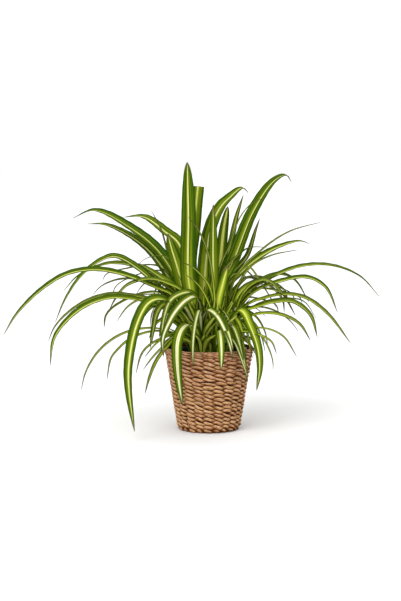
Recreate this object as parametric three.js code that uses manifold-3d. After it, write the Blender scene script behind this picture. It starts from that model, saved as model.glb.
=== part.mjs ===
// A potted spider plant: six rosettes of striped, arching leaves that grow in one pot of soil,
// which stands inside a round tapered basket woven from plant fibre.
// Millimetres, +Z up, origin at the centre of the basket's underside, the plant's front towards -Y.
import * as THREE from 'three';
import { mergeVertices } from 'three/addons/utils/BufferGeometryUtils.js';
import Module from 'manifold-3d';

const wasm = await Module();
wasm.setup();

// Basket sizes
const basketHeight = 158;
const footRadius = 50;
const footHeight = 14;
const wallRadiusAtGround = 59;
const wallSlope = 0.165;
const wallThickness = 7.3;
const floorThickness = 7;
const rimHeight = 12;
const rimRounding = 2;
const stakeCount = 22;
const strandRows = 19;
const strandBulge = 0.6;
const strandGroove = 2.4;
const ridgeShare = 0.25;
const ridgeSlant = 0.8;

// Nursery pot and soil sizes
const clearance = 0.35;
const linerHeight = 150;
const linerWall = 1.5;
const linerFloor = 2;
const drainHoles = 5;
const drainHoleRadius = 5;
const drainHoleCircle = 33;
const soilTop = 140;
const soilRoughness = 1.2;

// Crown sizes: the short stem that all leaves of one rosette grow from
const crownCircle = 28;
const crownRadius = 9;
const crownDepth = 15;
const crownHeight = 40;
const leafRoot = 137;
const rootSpread = 4.5;

// Leaf section: a shallow channel with sharp edges and a keel under the middle
const channelRise = 0.34;
const bladeThickness = 1.3;
const bladeStepLength = 85;
const fewestBladeSteps = 3;

const strawColor = 0xb98d5c;
const potColor = 0x2b2a28;
const soilColor = 0x2e2018;
const leafColor = 0x6f9a3a;

// One repeatable stream of numbers from 0 to 1
function seededDraws(seed) {
  let state = seed;
  return () => {
    state = (state * 16807) % 2147483647;
    return state / 2147483647;
  };
}

// Closed solids from three.js geometry, and back
function toSolid(geometry) {
  const bare = geometry.clone();
  bare.deleteAttribute('normal');
  bare.deleteAttribute('uv');
  const merged = mergeVertices(bare, 1e-4);
  const corners = merged.index.array;
  const kept = [];
  for (let i = 0; i < corners.length; i += 3) {
    const [a, b, c] = [corners[i], corners[i + 1], corners[i + 2]];
    if (a !== b && b !== c && c !== a) kept.push(a, b, c);
  }
  return new wasm.Manifold(new wasm.Mesh({
    numProp: 3,
    vertProperties: new Float32Array(merged.attributes.position.array),
    triVerts: new Uint32Array(kept),
  }));
}

function toGeometry(solid) {
  const mesh = solid.getMesh();
  const geometry = new THREE.BufferGeometry();
  geometry.setAttribute('position', new THREE.BufferAttribute(new Float32Array(mesh.vertProperties), 3));
  geometry.setIndex(new THREE.BufferAttribute(outerSkin(mesh), 1));
  geometry.computeVertexNormals();
  return geometry;
}

// The one skin with the most triangles: pockets sealed between crossing leaves are filled that way
function outerSkin(mesh) {
  const corners = mesh.triVerts;
  const parent = Array.from({ length: mesh.vertProperties.length / 3 }, (_, i) => i);
  const rootOf = (i) => {
    let root = i;
    while (parent[root] !== root) {
      parent[root] = parent[parent[root]];
      root = parent[root];
    }
    return root;
  };
  for (let i = 0; i < corners.length; i += 3) {
    const root = rootOf(corners[i]);
    parent[rootOf(corners[i + 1])] = root;
    parent[rootOf(corners[i + 2])] = root;
  }
  const skins = new Map();
  for (let i = 0; i < corners.length; i += 3) {
    const root = rootOf(corners[i]);
    if (!skins.has(root)) skins.set(root, []);
    skins.get(root).push(corners[i], corners[i + 1], corners[i + 2]);
  }
  const largest = [...skins.values()].reduce((best, skin) => (skin.length > best.length ? skin : best));
  return new Uint32Array(largest);
}

function turned(profile, sides) {
  const points = profile.map(([radius, height]) => new THREE.Vector2(radius, height));
  return new THREE.LatheGeometry(points, sides).rotateX(Math.PI / 2);
}

// Basket: straight tapered wall on a rounded foot
function outerRadius(height) {
  if (height >= footHeight) return wallRadiusAtGround + wallSlope * height;
  const rise = 1 - height / footHeight;
  const wallStart = wallRadiusAtGround + wallSlope * footHeight;
  return footRadius + (wallStart - footRadius) * Math.sqrt(1 - rise * rise);
}

function innerRadius(height) {
  return wallRadiusAtGround - wallThickness + wallSlope * height;
}

// The basket's skin runs ring by ring from the middle of its underside over the rim to the middle of
// its floor. Strands are woven in pairs, so that in every row one of the two bulges out over each
// stake: a slanting ridge there, with the skin set back between the stakes and between the rows.
function makeBasket() {
  const points = [];
  const corners = [];
  const stakeSpacing = 2 * Math.PI / stakeCount;
  const addPoint = (around, radius, height) => {
    points.push(radius * Math.cos(around), radius * Math.sin(around), height);
    return points.length / 3 - 1;
  };
  const addRing = (radius, height) => (
    Array.from({ length: stakeCount }, (_, i) => addPoint((i - 0.5) * stakeSpacing, radius, height)));
  const forEachStake = (first, second, addFaces) => first.forEach((_, i) => {
    const next = (i + 1) % stakeCount;
    addFaces(first[i], first[next], second[next], second[i], i);
  });
  const addBand = (first, second) => forEachStake(first, second, (a, b, c, d) => {
    corners.push(a, b, c, a, c, d);
  });
  const addWovenBand = (below, above, height) => forEachStake(below, above, (a, b, c, d, stake) => {
    const radius = outerRadius(height) + strandBulge;
    const left = addPoint((stake - ridgeShare) * stakeSpacing, radius, height + ridgeSlant);
    const right = addPoint((stake + ridgeShare) * stakeSpacing, radius, height - ridgeSlant);
    corners.push(a, b, right, a, right, left, b, c, right, c, d, left, c, left, right, d, a, left);
  });

  const rowHeight = (basketHeight - rimHeight) / strandRows;
  const underside = addPoint(0, 0, 0);
  let ring = addRing(footRadius, 0);
  ring.forEach((corner, i) => corners.push(underside, ring[(i + 1) % stakeCount], corner));
  for (let row = 1; row <= strandRows; row += 1) {
    const above = addRing(outerRadius(row * rowHeight) - strandGroove, row * rowHeight);
    addWovenBand(ring, above, (row - 0.5) * rowHeight);
    ring = above;
  }
  const rimAndInside = [
    [outerRadius(basketHeight - rimHeight), basketHeight - rimHeight + rimRounding],
    [outerRadius(basketHeight - rimRounding), basketHeight - rimRounding],
    [outerRadius(basketHeight) - rimRounding, basketHeight],
    [innerRadius(basketHeight) + rimRounding, basketHeight],
    [innerRadius(basketHeight - rimRounding), basketHeight - rimRounding],
    [innerRadius(floorThickness), floorThickness],
  ];
  for (const [radius, height] of rimAndInside) {
    const next = addRing(radius, height);
    addBand(ring, next);
    ring = next;
  }
  const floorMiddle = addPoint(0, 0, floorThickness);
  ring.forEach((corner, i) => corners.push(floorMiddle, corner, ring[(i + 1) % stakeCount]));

  const geometry = new THREE.BufferGeometry();
  geometry.setAttribute('position', new THREE.Float32BufferAttribute(points, 3));
  geometry.setIndex(corners);
  geometry.computeVertexNormals();
  return geometry;
}

// Plain plastic nursery pot with drain holes, standing on the basket's floor
function makeLiner() {
  const outside = (height) => innerRadius(height) - clearance;
  const bottom = floorThickness + clearance;
  const inside = bottom + linerFloor;
  const shell = toSolid(turned([
    [0, bottom], [outside(bottom), bottom], [outside(linerHeight), linerHeight],
    [outside(linerHeight) - linerWall, linerHeight], [outside(inside) - linerWall, inside], [0, inside],
  ], stakeCount));
  let pot = shell;
  for (let i = 0; i < drainHoles; i += 1) {
    const around = 2 * Math.PI * i / drainHoles;
    const drill = new THREE.CylinderGeometry(drainHoleRadius, drainHoleRadius, 12, 12).rotateX(Math.PI / 2);
    drill.translate(drainHoleCircle * Math.cos(around), drainHoleCircle * Math.sin(around), bottom);
    pot = pot.subtract(toSolid(drill));
  }
  return toGeometry(pot);
}

function crownCentre(heading) {
  const around = THREE.MathUtils.degToRad(heading);
  return new THREE.Vector3(crownCircle * Math.cos(around), crownCircle * Math.sin(around), 0);
}

// Soil: fills the pot, uneven on top, with a plain round hole for each crown
function makeSoil(headings) {
  const outside = (height) => innerRadius(height) - 2 * clearance - linerWall;
  const bottom = floorThickness + 2 * clearance + linerFloor;
  const rings = [[0, bottom], [outside(bottom), bottom], [outside(soilTop), soilTop]];
  for (const share of [0.75, 0.5, 0.25, 0]) rings.push([share * outside(soilTop), soilTop]);
  const block = turned(rings, stakeCount);
  const position = block.attributes.position;
  for (let i = 0; i < position.count; i += 1) {
    if (position.getZ(i) > soilTop - 1) {
      const [x, y] = [position.getX(i), position.getY(i)];
      const lump = Math.sin(x * 0.21) * Math.cos(y * 0.17) + Math.sin(x * 0.08 + y * 0.31);
      position.setZ(i, soilTop + soilRoughness * lump * 0.5);
    }
  }
  let soil = toSolid(block);
  for (const heading of headings) {
    const radius = crownRadius + clearance;
    const hole = new THREE.CylinderGeometry(radius, radius, 2 * crownDepth, 12).rotateX(Math.PI / 2);
    const centre = crownCentre(heading);
    hole.translate(centre.x, centre.y, soilTop - clearance);
    soil = soil.subtract(toSolid(hole));
  }
  return toGeometry(soil);
}

// A leaf's width along its length, as a share of its widest place: most leaves end in a long thin
// tip, the young upright ones in a blunt one, and a cut leaf in none
function leafOutline(along, tip) {
  const sheath = Math.min(1, 0.12 + 2.1 * along);
  if (tip === 'cut') return sheath;
  if (tip === 'blunt') return sheath * Math.pow(1 - Math.pow(along, 6), 0.6);
  return sheath * Math.pow(1 - Math.pow(along, 4.5), 0.8);
}

// One leaf in the upright plane through its crown that faces its azimuth. Its line is given as
// distances out from the crown and heights above the ground. Each row across the blade has its right
// edge, its upper side, its left edge and its keel, and both faces are split alike between the rows,
// from the middle of one row to the edge of the next, so that they don't cross where the blade bends.
function makeLeaf(centre, azimuth, width, turn, line, tip) {
  const around = THREE.MathUtils.degToRad(azimuth);
  const outward = new THREE.Vector3(Math.cos(around), Math.sin(around), 0);
  const sideways = new THREE.Vector3(-outward.y, outward.x, 0);
  const stations = [[rootSpread, leafRoot], ...line].map(([out, up]) => (
    centre.clone().addScaledVector(outward, out).setZ(up)));
  const curve = new THREE.CatmullRomCurve3(stations, false, 'centripetal');
  const steps = fewestBladeSteps + Math.round(curve.getLength() / bladeStepLength);
  const lastRow = tip === 'cut' ? steps : steps - 1;
  const swing = THREE.MathUtils.degToRad(turn);
  const points = [];
  for (let row = 0; row <= lastRow; row += 1) {
    const along = row / steps;
    const middle = curve.getPointAt(along);
    const ahead = curve.getTangentAt(along);
    const flat = sideways.clone().addScaledVector(ahead, -sideways.dot(ahead)).normalize();
    const up = new THREE.Vector3().crossVectors(ahead, flat);
    const across = flat.clone().multiplyScalar(Math.cos(swing)).addScaledVector(up, Math.sin(swing));
    const normal = up.clone().multiplyScalar(Math.cos(swing)).addScaledVector(flat, -Math.sin(swing));
    const half = width / 2 * leafOutline(along, tip);
    const thick = bladeThickness / 2 * Math.max(0.25, 1 - 0.75 * along);
    const edgeRise = half * channelRise;
    for (const [side, rise] of [[half, edgeRise], [0, thick], [-half, edgeRise], [0, -thick]]) {
      const point = middle.clone().addScaledVector(across, side).addScaledVector(normal, rise);
      points.push(point.x, point.y, point.z);
    }
  }
  const corners = [0, 3, 1, 3, 2, 1];
  for (let row = 0; row < lastRow; row += 1) {
    const [right, upper, left, keel] = [0, 1, 2, 3].map((i) => 4 * row + i);
    for (const [edge, middle] of [[right, upper], [left, keel]]) {
      corners.push(edge, middle, edge + 4, middle, middle + 4, edge + 4);
    }
    for (const [middle, edge] of [[upper, left], [keel, right]]) {
      corners.push(middle, edge, edge + 4, middle, edge + 4, middle + 4);
    }
  }
  const [right, upper, left, keel] = [0, 1, 2, 3].map((i) => 4 * lastRow + i);
  if (tip === 'cut') {
    corners.push(right, upper, keel, upper, left, keel);
  } else {
    const end = points.length / 3;
    points.push(...curve.getPointAt(1).toArray());
    corners.push(right, upper, end, upper, left, end, left, keel, end, keel, right, end);
  }
  const blade = new THREE.BufferGeometry();
  blade.setAttribute('position', new THREE.Float32BufferAttribute(points, 3));
  blade.setIndex(corners);
  return toSolid(blade);
}

// Crown: a short round stem that stands in its hole and closes over the leaves' roots
function makeCrown(centre) {
  const bottom = soilTop - crownDepth;
  const crown = turned([
    [0, bottom], [crownRadius * 0.8, bottom], [crownRadius, bottom + 4], [crownRadius, soilTop + 3],
    [crownRadius * 0.7, soilTop + crownHeight * 0.7], [0, soilTop + crownHeight],
  ], 10);
  return toSolid(crown.translate(centre.x, centre.y, 0));
}

// Leaves in view from the front, each as azimuth, width, turn about its own length, and its line
// as pairs of distance out from the crown and height above the ground, and the form of its tip where
// that isn't long and thin
const rightLeaves = [
  [25, 9, 15, [[24, 283], [84, 340], [142, 373], [209, 390]]],
  [20, 9, 20, [[20, 250], [53, 306], [95, 328], [154, 339]]],
  [8, 16, 30, [[41, 253], [89, 285], [150, 308], [210, 309], [265, 288], [303, 250]]],
  [-8, 16, 35, [[20, 215], [60, 262], [116, 285], [160, 291], [193, 273], [216, 227]]],
  [12, 16, 30, [[32, 260], [81, 286], [112, 294], [140, 281], [168, 239]]],
  [-14, 17, 40, [[42, 264], [80, 287], [109, 267], [139, 221]]],
  [-22, 14, 45, [[15, 262], [32, 305], [50, 320], [72, 286], [101, 236]]],
  [-15, 15, 30, [[42, 233], [81, 251], [119, 259], [157, 254], [198, 227], [244, 173]]],
  [-22, 16, 35, [[24, 217], [64, 233], [104, 245], [139, 247], [172, 225], [187, 185]]],
  [2, 9, 20, [[30, 205], [60, 235], [98, 247], [126, 249], [153, 243], [177, 211]]],
  [-28, 12, 30, [[25, 195], [60, 218], [97, 225], [131, 221], [159, 208], [181, 180]]],
  [-4, 9, 20, [[20, 205], [45, 230], [69, 234], [100, 226], [126, 208], [142, 188]]],
  [16, 9, 15, [[20, 200], [45, 232], [62, 230], [86, 212]]],
  [-26, 8, 15, [[20, 170], [45, 192], [75, 184], [92, 162], [102, 136], [103, 120]]],
  [5, 8, 20, [[6, 240], [12, 285], [22, 296], [42, 291], [64, 284]]],
  [14, 11, 30, [[15, 195], [42, 222], [62, 212], [80, 185], [88, 155]]],
];

const backRightLeaves = [
  [230, 18, 35, [[4, 247], [7, 330], [8, 400], [9, 428]]],
  [75, 22, 15, [[12, 262], [36, 318], [60, 376], [95, 423]]],
  [62, 15, 5, [[26, 281], [63, 353], [85, 398], [116, 442]]],
  [45, 28, 25, [[17, 272], [50, 322], [100, 407], [158, 466], [198, 479], [214, 466]]],
  [38, 8, -5, [[8, 300], [35, 350], [56, 396], [85, 425], [118, 437]]],
  [40, 16, 10, [[12, 250], [43, 291], [82, 325], [103, 376], [112, 397]]],
  [33, 18, 25, [[13, 252], [55, 292], [102, 322], [150, 341], [199, 350], [223, 344]]],
  [35, 10, 10, [[13, 290], [38, 316], [76, 340], [123, 341]]],
  [183, 14, -85, [[5, 200], [7, 250], [12, 296]], 'blunt'],
];

const backLeftLeaves = [
  [147, 21, -30, [[37, 242], [97, 330], [168, 377], [253, 409], [308, 393]]],
  [138, 20, -20, [[57, 245], [137, 331], [249, 377], [312, 379]]],
  [128, 22, -20, [[30, 250], [68, 345], [117, 370], [183, 395], [256, 393]]],
  [135, 9, 5, [[45, 230], [90, 316], [113, 375], [139, 411]]],
  [150, 23, -45, [[20, 250], [25, 320], [17, 378], [12, 425], [8, 458]], 'cut'],
  [50, 27, 20, [[4, 230], [10, 280], [17, 331], [24, 365], [39, 397], [61, 422], [85, 437], [124, 455],
    [143, 446]]],
  [50, 15, 30, [[6, 200], [13, 250], [20, 300]], 'blunt'],
];

const leftLeaves = [
  [160, 27, -60, [[20, 246], [33, 303], [47, 347], [53, 372]], 'blunt'],
  [175, 31, -75, [[4, 247], [10, 295], [10, 409], [13, 508]], 'blunt'],
  [184, 17, -35, [[36, 249], [74, 270], [130, 293], [187, 304], [240, 296], [290, 266], [335, 222],
    [360, 184]]],
  [171, 18, -35, [[10, 200], [56, 254], [102, 301], [152, 328], [182, 319], [220, 288], [250, 245],
    [271, 200]]],
  [161, 16, -30, [[15, 215], [60, 275], [105, 303], [160, 312], [197, 305], [240, 285], [270, 256]]],
  [190, 12, -25, [[20, 205], [85, 248], [123, 257], [157, 260], [200, 250], [240, 226], [265, 200],
    [277, 175]]],
  [197, 19, -30, [[15, 190], [63, 232], [141, 254], [174, 253], [212, 240], [246, 215], [270, 183],
    [279, 133]]],
  [177, 10, -30, [[20, 220], [60, 265], [103, 285], [137, 287], [165, 279], [180, 270], [194, 255]]],
  [187, 12, -35, [[5, 220], [17, 258], [50, 278], [81, 287], [107, 284], [130, 274], [147, 254], [162, 229]]],
  [202, 9, -30, [[20, 205], [60, 240], [100, 252], [123, 246], [139, 234], [155, 213]]],
  [155, 9, -15, [[10, 240], [35, 300], [57, 326], [88, 327], [110, 318], [120, 308]]],
  [166, 20, -35, [[15, 225], [47, 276], [66, 288], [86, 301], [110, 315]]],
  [181, 8, -30, [[20, 240], [60, 275], [85, 282], [97, 275], [112, 255]]],
  [193, 9, -35, [[15, 215], [60, 255], [75, 259], [105, 259]]],
  [203, 10, -20, [[25, 175], [70, 194], [110, 196], [144, 189], [175, 173], [199, 151], [218, 120],
    [227, 89]]],
  [206, 10, -20, [[25, 174], [75, 190], [112, 186], [137, 176], [160, 158], [171, 145], [180, 106]]],
  [209, 9, -15, [[25, 180], [60, 178], [80, 168], [106, 144]]],
];

const frontLeftLeaves = [
  [240, 21, -65, [[0, 225], [20, 256], [57, 254], [90, 240], [115, 222], [141, 189], [137, 158]]],
  [228, 20, -70, [[0, 220], [10, 250], [32, 264], [60, 263], [85, 253], [103, 220], [111, 168]]],
  [248, 23, -10, [[15, 200], [60, 235], [100, 216], [118, 188], [118, 160], [112, 120], [92, 61]]],
  [262, 12, 20, [[25, 231], [65, 222], [98, 200], [112, 175], [108, 137]]],
  [218, 12, -10, [[30, 185], [55, 187], [76, 170], [104, 143], [120, 115], [132, 85]]],
  [222, 23, -25, [[40, 220], [100, 256], [129, 251], [156, 214], [175, 143], [176, 100], [165, 19]]],
  [212, 15, -40, [[20, 205], [50, 240], [84, 245], [97, 230], [104, 205], [112, 166]]],
  [216, 9, -15, [[30, 180], [60, 190], [90, 182], [117, 172], [135, 157], [149, 122]]],
  [226, 9, -10, [[40, 190], [75, 188], [104, 170], [130, 153], [153, 133]]],
  [232, 15, 30, [[12, 180], [28, 215], [48, 240], [72, 248], [98, 232], [114, 200]]],
  [214, 12, -45, [[15, 190], [40, 225], [62, 232], [85, 215], [95, 185]]],
  [60, 12, -20, [[4, 190], [9, 240], [12, 275]]],
];

const frontRightLeaves = [
  [275, 17, 25, [[20, 195], [50, 225], [80, 203], [96, 176], [98, 155], [92, 128]]],
  [285, 18, 15, [[5, 200], [18, 222], [60, 212], [87, 197], [103, 183], [114, 168]]],
  [300, 12, -25, [[3, 205], [16, 231], [39, 222], [49, 211], [54, 198]]],
  [299, 9, 0, [[20, 182], [45, 186], [70, 174], [99, 140], [110, 125], [117, 108]]],
  [309, 12, 25, [[20, 190], [45, 205], [68, 172], [78, 148], [84, 130], [89, 108]]],
  [318, 20, 25, [[25, 195], [61, 233], [83, 205], [100, 170], [106, 133], [100, 88]]],
  [328, 9, 20, [[20, 170], [58, 195], [91, 202], [123, 199], [148, 187], [173, 154]]],
  [322, 9, 25, [[25, 178], [65, 195], [106, 190], [129, 180], [140, 158]]],
  [322, 13, 45, [[20, 195], [35, 222], [50, 215], [60, 197], [68, 178]]],
  [312, 12, 50, [[15, 190], [30, 215], [46, 206], [54, 190], [66, 168]]],
  [172, 9, -50, [[2, 200], [8, 250], [16, 277], [37, 303], [50, 313], [66, 321]]],
  [178, 8, -55, [[5, 205], [19, 252], [35, 278], [57, 297]]],
  [174, 8, -55, [[3, 220], [12, 315], [19, 343], [34, 380], [53, 405]]],
  [305, 9, -10, [[10, 185], [28, 208], [44, 198], [58, 180], [66, 168]]],
  [150, 10, -20, [[3, 185], [8, 230], [12, 262]]],
  [52, 18, -10, [[2, 190], [6, 237], [20, 275], [36, 312]], 'blunt'],
];

// Leaves out of view from the front, placed by rule over the back half of the pot: the ones that
// leave straight back hang down behind the basket, and the others arch out to the sides
function backLeaves(middle, seed) {
  const draw = seededDraws(seed);
  const count = 9;
  const leaves = [];
  for (let i = 0; i < count; i += 1) {
    const azimuth = middle - 28 + 56 * (i + 0.5) / count + 3 * (draw() - 0.5);
    const straightBack = Math.abs(azimuth - 90) < 22;
    const reach = straightBack ? 120 + 60 * draw() : 150 + 130 * draw();
    const crest = straightBack ? 215 + 60 * draw() : 235 + 75 * draw();
    const tip = straightBack ? 60 + 90 * draw() : crest - 30 - 55 * draw();
    const width = 9 + 9 * draw();
    const line = [
      [reach * 0.16, soilTop + (crest - soilTop) * 0.68],
      [reach * 0.42, crest],
      [reach * 0.76, crest - (crest - tip) * 0.24],
      [reach * 0.97, crest - (crest - tip) * 0.66],
      [reach, tip],
    ];
    leaves.push([Math.round(azimuth), width, 20 * (draw() - 0.5), line]);
  }
  return leaves;
}

const rosettes = [
  { name: 'rosette_right', heading: 0, leaves: rightLeaves },
  { name: 'rosette_back_right', heading: 60, leaves: [...backRightLeaves, ...backLeaves(60, 11)] },
  { name: 'rosette_back_left', heading: 120, leaves: [...backLeftLeaves, ...backLeaves(120, 29)] },
  { name: 'rosette_left', heading: 180, leaves: leftLeaves },
  { name: 'rosette_front_left', heading: 240, leaves: frontLeftLeaves },
  { name: 'rosette_front_right', heading: 300, leaves: frontRightLeaves },
];

function makeRosette({ heading, leaves }) {
  const centre = crownCentre(heading);
  let plant = makeCrown(centre);
  for (const [azimuth, width, turn, line, tip] of leaves) {
    plant = plant.add(makeLeaf(centre, azimuth, width, turn, line, tip));
  }
  return toGeometry(plant);
}

const pottedPlant = new THREE.Group();

function addPiece(name, geometry, color, roughness) {
  const material = new THREE.MeshStandardMaterial({ color, roughness, metalness: 0 });
  const mesh = new THREE.Mesh(geometry, material);
  mesh.name = name;
  pottedPlant.add(mesh);
}

addPiece('basket', makeBasket(), strawColor, 0.8);
addPiece('liner', makeLiner(), potColor, 0.6);
addPiece('soil', makeSoil(rosettes.map(({ heading }) => heading)), soilColor, 0.95);
for (const rosette of rosettes) {
  addPiece(rosette.name, makeRosette(rosette), leafColor, 0.5);
}

export default pottedPlant;
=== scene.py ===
import math

import bmesh
import bpy
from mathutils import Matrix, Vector, noise


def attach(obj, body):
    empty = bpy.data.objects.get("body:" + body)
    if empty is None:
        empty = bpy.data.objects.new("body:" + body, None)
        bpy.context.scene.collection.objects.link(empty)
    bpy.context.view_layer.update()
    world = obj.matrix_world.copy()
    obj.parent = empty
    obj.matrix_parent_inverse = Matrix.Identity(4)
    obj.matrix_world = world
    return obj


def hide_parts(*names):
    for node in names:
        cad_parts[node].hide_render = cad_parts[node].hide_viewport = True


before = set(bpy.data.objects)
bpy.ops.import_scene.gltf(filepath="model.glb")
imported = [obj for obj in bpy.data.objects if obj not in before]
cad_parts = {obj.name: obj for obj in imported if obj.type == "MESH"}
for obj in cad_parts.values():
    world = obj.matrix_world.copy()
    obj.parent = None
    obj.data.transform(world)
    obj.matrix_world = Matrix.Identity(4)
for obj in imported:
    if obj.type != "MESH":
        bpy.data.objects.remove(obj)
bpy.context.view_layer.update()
scene = bpy.context.scene

# Camera
# It looks slightly down on the plant from three metres away, square to its front.
camera_lens = 94.6
camera_sensor = 36
camera_side = -0.0158
camera_distance = 2.985
camera_height = 0.553
aim_height = 0.246
camera_data = bpy.data.cameras.new("camera")
camera_data.sensor_width = camera_sensor
camera_data.lens = camera_lens
camera = bpy.data.objects.new("camera", camera_data)
camera.location = (camera_side, -camera_distance, camera_height)
camera_aim = Vector((camera_side, 0, aim_height))
camera.rotation_euler = (camera_aim - camera.location).to_track_quat("-Z", "Y").to_euler()
scene.collection.objects.link(camera)
scene.camera = camera

# Studio
# A plain white floor under a white sky. A broad light comes from the upper left of the camera, and
# weaker ones from its right and from behind the plant keep the shadows soft.
sky_white = (1, 1, 1, 1)
sky_strength = 0.75
sky_strength_in_view = 1.0
floor_white = (0.88, 0.88, 0.88, 1)
floor_reach = 20


def add_node(tree, kind, inputs, **settings):
    """A shader node with its settings, and a value or a link for each named input."""
    made = tree.nodes.new(kind)
    for name, value in settings.items():
        setattr(made, name, value)
    for socket, value in inputs.items():
        if isinstance(value, bpy.types.NodeSocket):
            tree.links.new(value, made.inputs[socket])
        else:
            made.inputs[socket].default_value = value
    return made


def finish_mesh(mould, name):
    """Turn a finished bmesh into a smooth-shaded object at the origin."""
    for face in mould.faces:
        face.smooth = True
    mesh = bpy.data.meshes.new(name)
    mould.to_mesh(mesh)
    mould.free()
    made = bpy.data.objects.new(name, mesh)
    scene.collection.objects.link(made)
    return made


def new_material(name):
    """A material with a bare Principled shader, its node tree and that shader."""
    material = bpy.data.materials.new(name)
    material.use_nodes = True
    return material, material.node_tree, material.node_tree.nodes["Principled BSDF"]


def add_sun(name, source, spread, strength):
    """A far light, as broad as its spread in degrees, that shines from the source's direction."""
    sun_data = bpy.data.lights.new(name, "SUN")
    sun_data.energy = strength
    sun_data.angle = math.radians(spread)
    sun = bpy.data.objects.new(name, sun_data)
    sun.rotation_euler = Vector(source).to_track_quat("Z", "Y").to_euler()
    scene.collection.objects.link(sun)


scene.view_settings.view_transform = "Standard"
world = bpy.data.worlds.new("studio")
scene.world = world
world.use_nodes = True
sky = world.node_tree.nodes["Background"]
sky.inputs["Color"].default_value = sky_white
in_view = add_node(world.node_tree, "ShaderNodeLightPath", {}).outputs["Is Camera Ray"]
sky_level = add_node(world.node_tree, "ShaderNodeMapRange", {
    "Value": in_view, "To Min": sky_strength, "To Max": sky_strength_in_view})
world.node_tree.links.new(sky_level.outputs["Result"], sky.inputs["Strength"])
add_sun("key_light", (-0.9, -1.5, 1.7), 40, 1.8)
add_sun("fill_light", (0.6, -2.0, 0.6), 60, 0.7)
add_sun("back_light", (0.4, 1.5, 1.6), 60, 0.7)

floor_mould = bmesh.new()
bmesh.ops.create_grid(floor_mould, x_segments=1, y_segments=1, size=floor_reach)
floor = finish_mesh(floor_mould, "floor")
floor_paint, _, floor_shader = new_material("white_floor")
floor_shader.inputs["Base Color"].default_value = floor_white
floor_shader.inputs["Roughness"].default_value = 1.0
floor_shader.inputs["Specular IOR Level"].default_value = 0.0
floor.data.materials.append(floor_paint)

# Woven basket
# Flat plant-fibre strands are woven in pairs round upright stakes: one strand of a pair passes in
# front of a stake while the other passes behind it, and the two cross over before the next stake.
# Two thinner rows and a twisted cord finish the rim, with their ends tucked in as small knots.
wall_at_ground = 0.059
wall_slope = 0.165
wall_inset = 0.0032
foot_radius = 0.050
foot_height = 0.014
basket_height = 0.158
rim_height = 0.012
ground_gap = 0.0002
stake_count = 22
stake_foot = 0.004
stake_shortfall = 0.009
stake_thick = 0.0008
stake_wide = 0.0017
row_count = 19
row_pitch = (basket_height - rim_height) / row_count
row_wander = 0.0011
weave_depth = 0.0020
weave_slant = 0.0019
slant_spread = 0.35
slow_wander = 0.75
quick_wander = 0.5
strand_thick = 0.0014
strand_tall = 0.0021
twist_ridge = 0.10
twist_count = 44
float_thick = 0.0006
float_thick_spread = 0.0004
float_tall = 0.0015
float_tall_spread = 0.0007
float_shift = 0.0007
float_contrast = 2.2
cord_height = 0.1560
cord_thick = 0.0029
cord_tall = 0.0016
cord_twists = 74
cord_ridge = 0.18
cord_lumps = 0.15
cord_sway = 0.0005
cord_heave = 0.0004
base_rings = 11
base_start = 0.003
base_pitch = 0.0046
base_height = 0.0022
base_wide = 0.0024
base_thick = 0.0016
base_dip = 0.0004
knot_inset = 0.0014
knot_squeeze = (0.9, 1.3, 0.75)
loose_end_inset = 0.002
loose_end_thick = 0.0009
fibre_count = 26
straw_tan = (0.420, 0.190, 0.058, 1)
straw_gold = (0.520, 0.275, 0.075, 1)
straw_red = (0.430, 0.165, 0.075, 1)
straw_pale = (0.820, 0.530, 0.320, 1)
straw_dark = (0.105, 0.024, 0.002, 1)

# A rim row is its height and size, a knot its angle, height and size, and a loose end its angle,
# height, reach and drop, in metres and radians.
rim_rows = ((0.1482, 0.72), (0.1526, 0.72))
knots = (
    (-0.10, 0.1545, 0.0040), (0.42, 0.153, 0.0032),
    (-2.6, 0.1525, 0.0030), (2.1, 0.1525, 0.0030),
)
loose_ends = (
    (-0.06, 0.150, 0.0035, 0.016), (-0.30, 0.146, 0.0030, 0.010),
    (2.7, 0.149, 0.0030, 0.013), (1.3, 0.147, 0.0030, 0.012),
)


def outer_radius(height):
    """The basket's outer radius: a straight taper above a rounded foot."""
    if height >= foot_height:
        return wall_at_ground + wall_slope * height
    rise = 1 - max(height, 0) / foot_height
    wall_start = wall_at_ground + wall_slope * foot_height
    return foot_radius + (wall_start - foot_radius) * math.sqrt(1 - rise * rise)


def ring_point(around, radius, height):
    """A point on a circle about the basket's axis."""
    return Vector((radius * math.cos(around), radius * math.sin(around), height))


def ring_noise(around, spread, layer):
    """Unevenness that closes on itself round the basket, from about -1 to 1."""
    return noise.noise(Vector((spread * math.cos(around), spread * math.sin(around), layer)))


def start_strips(place_name, look_name):
    """An empty mould whose strips carry a UV map and a colour attribute for their material."""
    mould = bmesh.new()
    mould.loops.layers.uv.new(place_name)
    mould.verts.layers.float_color.new(look_name)
    return mould


def add_strand(mould, place, tone, steps, sides):
    """Bend a flat grid into a strand; place gives a point for a share of its length and an angle
    round its section, and tone gives two masks for a share of its length."""
    sheet = bmesh.ops.create_grid(mould, x_segments=steps, y_segments=sides, size=0.5)["verts"]
    place_layer = mould.loops.layers.uv["strand_place"]
    tone_layer = mould.verts.layers.float_color["strand_tone"]
    for vert in sheet:
        share = vert.co.x + 0.5
        for loop in vert.link_loops:
            loop[place_layer].uv = (share, vert.co.y + 0.5)
        vert[tone_layer] = (*tone(share), 0, 1)
        vert.co = place(share, 2 * math.pi * (vert.co.y + 0.5))
    bmesh.ops.remove_doubles(mould, verts=sheet, dist=1e-6)


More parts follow.
